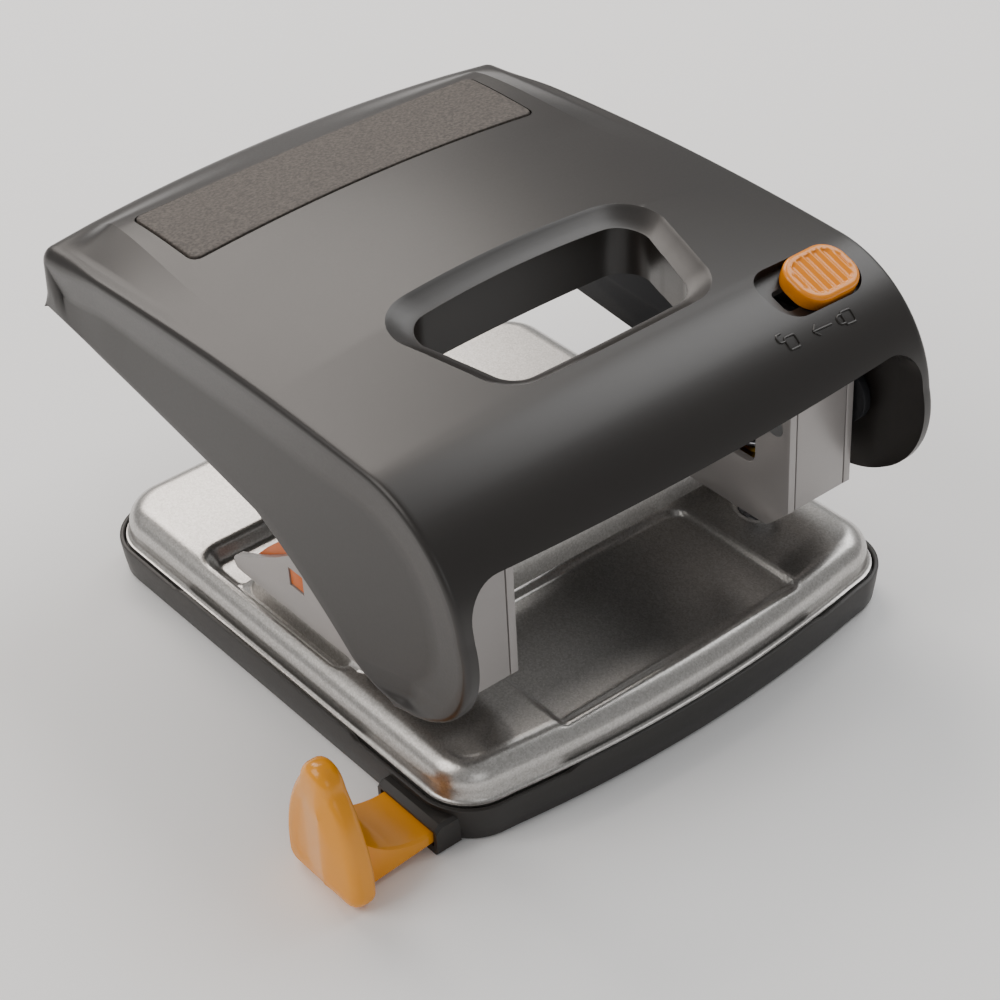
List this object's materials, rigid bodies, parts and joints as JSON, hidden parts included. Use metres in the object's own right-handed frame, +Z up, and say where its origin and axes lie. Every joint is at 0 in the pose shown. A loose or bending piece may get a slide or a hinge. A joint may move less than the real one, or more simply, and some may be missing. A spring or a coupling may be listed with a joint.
{
  "type": "hole punch",
  "caption": "Desk hole punch: pressed steel base on a chip tray, folded steel punch brackets, broad hinged handle with a finger window and sliding lock, and a pull-out paper guide.",
  "frame": {"origin": "centre of the chip tray's underside, where it rests on the desk", "axes": "+X to the right across the punch, +Y from the paper side to the rear of the handle, +Z up"},
  "size_m": [0.1295, 0.1262, 0.0768],
  "materials": {
    "tray_plastic": "satin black ABS",
    "guide_plastic": "glossy yellow-orange ABS",
    "base_paint": "silver metallic lacquer",
    "tool_steel": "ground tool steel",
    "bracket_steel": "light warm grey lacquer on folded steel",
    "zinc_steel": "zinc plated",
    "bush_brass": "machined",
    "insert_plastic": "orange POM",
    "dark_steel": "black phosphated steel",
    "spring_steel": "drawn wire",
    "shell_plastic": "satin warm black ABS",
    "pad_rubber": "grained soft grey-brown",
    "button_plastic": "glossy orange"
  },
  "bodies": {
    "base": {"base_plate": "base_paint", "die_left": "tool_steel", "die_right": "tool_steel", "bracket_left": "bracket_steel", "bracket_right": "bracket_steel", "bracket_rivets": "zinc_steel", "guide_bush_left": "bush_brass", "guide_bush_right": "bush_brass", "channel_insert_left": "insert_plastic", "channel_insert_right": "insert_plastic", "pivot_pin_left": "zinc_steel", "pivot_pin_right": "zinc_steel", "return_spring_left": "spring_steel", "return_spring_right": "spring_steel"},
    "tray": {"chip_tray": "tray_plastic"},
    "guide": {"paper_guide": "guide_plastic"},
    "handle": {"handle_shell": "shell_plastic", "grip_pad": "pad_rubber", "lever_arm_left": "dark_steel", "lever_arm_right": "dark_steel", "lever_screws": "zinc_steel"},
    "lock": {"lock_slider": "button_plastic", "lock_tongue": "zinc_steel", "lock_screw": "zinc_steel"},
    "left_punch": {"punch_left": "tool_steel", "cross_pin_left": "zinc_steel", "spring_collar_left": "dark_steel"},
    "right_punch": {"punch_right": "tool_steel", "cross_pin_right": "zinc_steel", "spring_collar_right": "dark_steel"}
  },
  "joints": [
    {"name": "handle_hinge", "type": "hinge", "parent": "base", "child": "handle", "pos_m": [0, -0.0438, 0.042], "axis": [-1, 0, 0], "range_deg": [0, 25], "stiffness_Nm_per_rad": 0.4, "springref_deg": -34.38},
    {"name": "punch_left_slide", "type": "slide", "parent": "base", "child": "left_punch", "axis": [0, 0, -1], "range_m": [0, 0.0059], "deforming": ["return_spring_left"]},
    {"name": "punch_right_slide", "type": "slide", "parent": "base", "child": "right_punch", "axis": [0, 0, -1], "range_m": [0, 0.0059], "deforming": ["return_spring_right"]},
    {"name": "lock_slide", "type": "slide", "parent": "handle", "child": "lock", "axis": [-1, 0, 0], "range_m": [0, 0.006]},
    {"name": "tray_release", "type": "slide", "parent": "base", "child": "tray", "axis": [0, 0, -1], "range_m": [0, 0.025]},
    {"name": "guide_slide", "type": "slide", "parent": "tray", "child": "guide", "axis": [-1, 0, 0], "range_m": [0, 0.06]}
  ],
  "couplings": [
    {"joint": "punch_left_slide", "follows": "handle_hinge", "m_per_rad": 0.01329},
    {"joint": "punch_right_slide", "follows": "handle_hinge", "m_per_rad": 0.01329}
  ]
}
